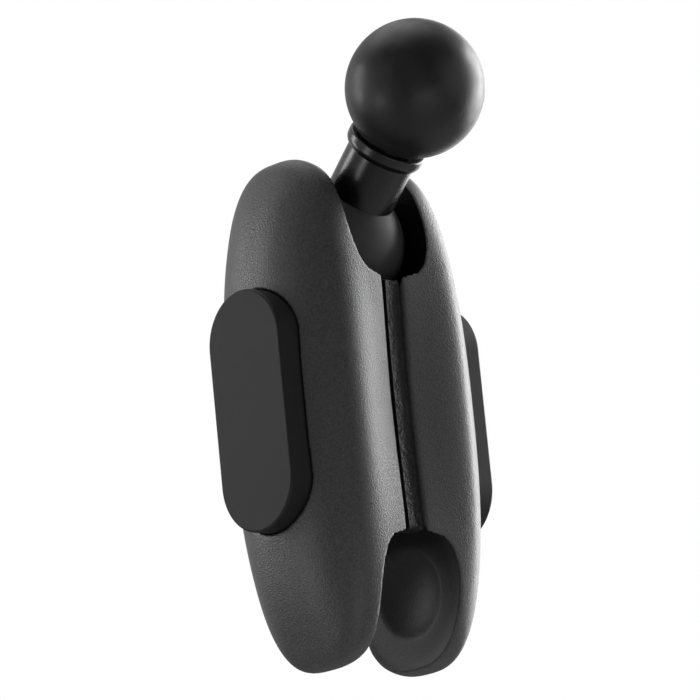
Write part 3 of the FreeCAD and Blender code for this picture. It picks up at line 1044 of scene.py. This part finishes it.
@dataclass
class Studio:
    """The pale floor, the white surround and the lamps."""

    floor_drop: float = 0.45
    floor_reach: float = 6.0
    floor_tone: float = 0.9
    floor_glow: float = 0.4
    floor_lift: float = 0.6
    floor_roughness: float = 0.9
    floor_specular: float = 0.1
    surround_behind: float = 0.6
    surround_front: float = 0.07
    surround_rise: float = 0.25
    surround_fade: tuple[float, float] = (-0.1, 0.7)
    lamps: tuple[SoftBox, ...] = (
        SoftBox("right_box", (0.95, -0.13, 0.2), 0.36, 0.56, 8.4),
        SoftBox("rear_right_box", (0.88, 0.46, 0.22), 0.26, 0.56, 2.0),
        SoftBox("left_box", (-0.95, 0.2, 0.25), 0.6, 0.6, 0.45),
        SoftBox("left_low_box", (-0.93, 0.3, -0.27), 0.22, 0.16, 3.6),
        SoftBox("rear_left_box", (-0.52, 0.82, 0.3), 0.13, 0.4, 7.0),
        SoftBox("front_left_box", (-0.65, -0.75, 0.25), 0.4, 0.5, 0.1),
        SoftBox("front_box", (0.32, -0.94, 0.13), 0.34, 0.5, 0.8),
        SoftBox("low_box", (-0.35, -0.8, -0.45), 0.4, 0.3, 1.0),
        SoftBox("top_box", (0.0, 0.2, 1.0), 0.5, 0.5, 1.2),
    )

    def build(self, target: Vector, toward_camera: Vector) -> None:
        """Set up the studio round the arm.

        Args:
            target: the point that the lamps look at.
            toward_camera: the direction from the arm to the photograph's camera.
        """
        self.lay_floor(target)
        self.paint_surround(toward_camera)
        for lamp in self.lamps:
            lamp.build(target)

    def lay_floor(self, target: Vector) -> None:
        """Lay a plain pale floor under the arm, bright to the eye and dim as a light.

        Args:
            target: the point that the floor lies under.
        """
        mesh = bpy.data.meshes.new("floor")
        reach = self.floor_reach
        corners = [(-reach, -reach), (reach, -reach), (reach, reach), (-reach, reach)]
        level = target.z - self.floor_drop
        mesh.from_pydata([(x, y, level) for x, y in corners], [], [(0, 1, 2, 3)])
        floor = bpy.data.objects.new("floor", mesh)
        bpy.context.scene.collection.objects.link(floor)
        material = bpy.data.materials.new("floor_pale")
        material.use_nodes = True
        tree = material.node_tree
        surface = tree.nodes["Principled BSDF"]
        surface.inputs["Roughness"].default_value = self.floor_roughness
        surface.inputs["Specular IOR Level"].default_value = self.floor_specular
        path = tree.nodes.new("ShaderNodeLightPath")
        tone = tree.nodes.new("ShaderNodeMix")
        tone.data_type = "RGBA"
        tone.inputs["A"].default_value = (*[self.floor_glow] * 3, 1.0)
        tone.inputs["B"].default_value = (*[self.floor_tone] * 3, 1.0)
        tree.links.new(path.outputs["Is Camera Ray"], tone.inputs["Factor"])
        tree.links.new(tone.outputs["Result"], surface.inputs["Base Color"])
        lift = tree.nodes.new("ShaderNodeMath")
        lift.operation = "MULTIPLY"
        lift.inputs[1].default_value = self.floor_lift
        tree.links.new(path.outputs["Is Camera Ray"], lift.inputs[0])
        tree.links.new(lift.outputs["Value"], surface.inputs["Emission Strength"])
        surface.inputs["Emission Color"].default_value = (1.0, 1.0, 1.0, 1.0)
        mesh.materials.append(material)

    def paint_surround(self, toward_camera: Vector) -> None:
        """Make the surround white to the eye, and as a light bright behind the arm only.

        Args:
            toward_camera: the direction from the arm to the photograph's camera.
        """
        world = bpy.data.worlds.new("surround")
        bpy.context.scene.world = world
        world.use_nodes = True
        tree = world.node_tree
        background = tree.nodes["Background"]
        place = tree.nodes.new("ShaderNodeTexCoord")
        facing = tree.nodes.new("ShaderNodeVectorMath")
        facing.operation = "DOT_PRODUCT"
        away = (-toward_camera.x, -toward_camera.y, self.surround_rise)
        behind = Vector(away).normalized()
        facing.inputs[1].default_value = behind
        tree.links.new(place.outputs["Generated"], facing.inputs[0])
        level = tree.nodes.new("ShaderNodeMapRange")
        level.interpolation_type = "SMOOTHSTEP"
        fade_start, fade_end = self.surround_fade
        level.inputs["From Min"].default_value = fade_start
        level.inputs["From Max"].default_value = fade_end
        level.inputs["To Min"].default_value = self.surround_front
        level.inputs["To Max"].default_value = self.surround_behind
        tree.links.new(facing.outputs["Value"], level.inputs["Value"])
        path = tree.nodes.new("ShaderNodeLightPath")
        seen = tree.nodes.new("ShaderNodeMix")
        seen.inputs["B"].default_value = 1.0
        tree.links.new(path.outputs["Is Camera Ray"], seen.inputs["Factor"])
        tree.links.new(level.outputs["Result"], seen.inputs["A"])
        tree.links.new(seen.outputs["Result"], background.inputs["Strength"])
        background.inputs["Color"].default_value = (1.0, 1.0, 1.0, 1.0)


@dataclass(frozen=True)
class PhotoCamera:
    """The camera that took the photograph, found by fitting the arm's outlines to it."""

    azimuth: float = -43.09
    elevation: float = -11.2
    roll: float = -5.62
    distance: float = 0.9
    aim_right: float = -0.00038
    aim_up: float = 0.01249
    lens: float = 254.57
    sensor: float = 36.0

    def toward(self) -> Vector:
        """The direction from the arm to the camera.

        Returns:
            The direction, of length 1.
        """
        turn, tip = math.radians(self.azimuth), math.radians(self.elevation)
        level = math.cos(tip)
        return Vector((math.sin(turn) * level, -math.cos(turn) * level, math.sin(tip)))

    def build(self, centre: Vector) -> None:
        """Place the camera.

        Args:
            centre: the arm's centre.
        """
        toward = self.toward()
        turn, roll = math.radians(self.azimuth), math.radians(self.roll)
        flat_right = Vector((math.cos(turn), math.sin(turn), 0.0))
        flat_up = toward.cross(flat_right)
        right = math.cos(roll) * flat_right + math.sin(roll) * flat_up
        up = math.cos(roll) * flat_up - math.sin(roll) * flat_right
        aim = centre + right * self.aim_right + up * self.aim_up
        place = centre + toward * self.distance
        back = (place - aim).normalized()
        side = up.cross(back).normalized()
        rise = back.cross(side)
        lens = bpy.data.cameras.new("photo_camera")
        lens.lens = self.lens
        lens.sensor_width = self.sensor
        holder = bpy.data.objects.new("photo_camera", lens)
        bpy.context.scene.collection.objects.link(holder)
        pose = Matrix((side, rise, back)).transposed().to_4x4()
        pose.translation = place
        holder.matrix_world = pose
        bpy.context.scene.camera = holder


def dress_nodes() -> None:
    """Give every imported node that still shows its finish."""
    for name, finish in NODE_FINISHES.items():
        finish.dress(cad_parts[name])
        log.info("dressed %s in %s", name, finish.name)


def arm_centre() -> Vector:
    """The middle of the arm, between its two sockets.

    Returns:
        The point.
    """
    low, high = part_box("centre_spacer")
    return Vector((0.0, 0.0, (low.z + high.z) / 2))


def main() -> None:
    """Build the arm's pieces, light it and place the camera."""
    logging.basicConfig(level=logging.INFO, format="%(name)s: %(message)s")
    bpy.context.scene.view_settings.view_transform = "Standard"
    ClampShell("right_clamp_shell", "right_shell", "base_half").build()
    ClampShell("left_clamp_shell", "left_shell", "clamp_half").build()
    CentreStrip().build()
    ClampScrew().build()
    LockNut().build()
    ClampSpring().build()
    dress_nodes()
    centre = arm_centre()
    camera = PhotoCamera()
    camera.build(centre)
    Studio().build(centre, camera.toward())


if __name__ == "__main__":
    main()
